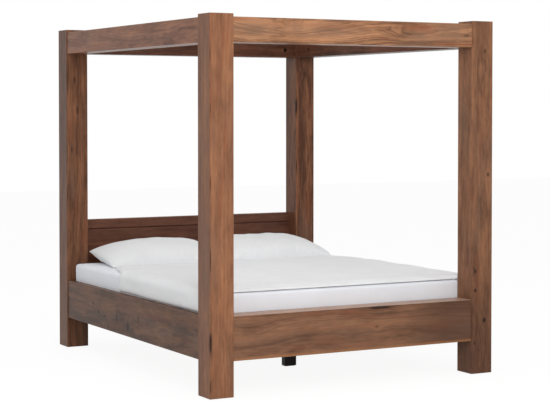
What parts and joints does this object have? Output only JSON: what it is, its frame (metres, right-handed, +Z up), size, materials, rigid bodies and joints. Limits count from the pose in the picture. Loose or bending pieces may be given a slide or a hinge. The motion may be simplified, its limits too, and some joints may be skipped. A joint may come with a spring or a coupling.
{
  "type": "four poster canopy bed",
  "caption": "Double-width bed of thick squared timbers: corner posts joined by a beam frame overhead, low headboard, deep rails, slatted base, mattress, duvet and pillows.",
  "frame": {"origin": "on the floor, under the middle of the bed", "axes": "+X towards the right side seen from the foot, +Y towards the head end, +Z up"},
  "size_m": [1.894, 2.31, 2.12],
  "materials": {
    "post_timber": "oiled",
    "beam_timber": "oiled",
    "rail_timber": "oiled",
    "headboard_timber": "oiled",
    "slat_timber": "plain",
    "frame_timber": "plain",
    "leg_timber": "oiled",
    "dowel_wood": "plain",
    "zinc_steel": "zinc plated",
    "felt": "felt",
    "mattress_cover": "knitted",
    "cotton_sheet": "plain weave",
    "duvet_cotton": "plain weave",
    "pillow_cotton": "plain weave"
  },
  "bodies": {
    "frame": {"post_foot_left": "post_timber", "post_foot_right": "post_timber", "post_head_left": "post_timber", "post_head_right": "post_timber", "canopy_beam_foot": "beam_timber", "canopy_beam_head": "beam_timber", "canopy_beam_left": "beam_timber", "canopy_beam_right": "beam_timber", "foot_rail": "rail_timber", "head_rail": "rail_timber", "side_rail_left": "rail_timber", "side_rail_right": "rail_timber", "headboard_top_rail": "headboard_timber", "headboard_panel": "headboard_timber", "slat_01": "slat_timber", "slat_02": "slat_timber", "slat_03": "slat_timber", "slat_04": "slat_timber", "slat_05": "slat_timber", "slat_06": "slat_timber", "slat_07": "slat_timber", "slat_08": "slat_timber", "slat_09": "slat_timber", "slat_10": "slat_timber", "slat_11": "slat_timber", "slat_12": "slat_timber", "slat_13": "slat_timber", "slat_14": "slat_timber", "slat_ledger_left": "frame_timber", "slat_ledger_right": "frame_timber", "centre_beam": "frame_timber", "centre_leg_foot": "leg_timber", "centre_leg_head": "leg_timber", "canopy_dowels": "dowel_wood", "rail_dowels": "dowel_wood", "headboard_dowels": "dowel_wood", "canopy_studs": "zinc_steel", "canopy_washers": "zinc_steel", "canopy_nuts": "zinc_steel", "rail_studs": "zinc_steel", "rail_washers": "zinc_steel", "rail_nuts": "zinc_steel", "ledger_screws": "zinc_steel", "slat_screws": "zinc_steel", "hanger_screws": "zinc_steel", "leg_bolts": "zinc_steel", "leg_nuts": "zinc_steel", "centre_beam_hanger_foot": "zinc_steel", "centre_beam_hanger_head": "zinc_steel", "post_pads": "felt", "leg_pads": "felt"},
    "mattress": {"mattress": "mattress_cover", "fitted_sheet": "cotton_sheet"},
    "duvet": {"duvet": "duvet_cotton"},
    "pillow_left": {"pillow_left": "pillow_cotton"},
    "pillow_right": {"pillow_right": "pillow_cotton"}
  },
  "joints": [
    {"name": "mattress_lift", "type": "slide", "parent": "frame", "child": "mattress", "axis": [0, 0, 1], "range_m": [0, 0.3]},
    {"name": "duvet_lift", "type": "slide", "parent": "mattress", "child": "duvet", "axis": [0, 0, 1], "range_m": [0, 0.5]},
    {"name": "pillow_left_lift", "type": "slide", "parent": "mattress", "child": "pillow_left", "axis": [0, 0, 1], "range_m": [0, 0.5]},
    {"name": "pillow_right_lift", "type": "slide", "parent": "mattress", "child": "pillow_right", "axis": [0, 0, 1], "range_m": [0, 0.5]}
  ]
}
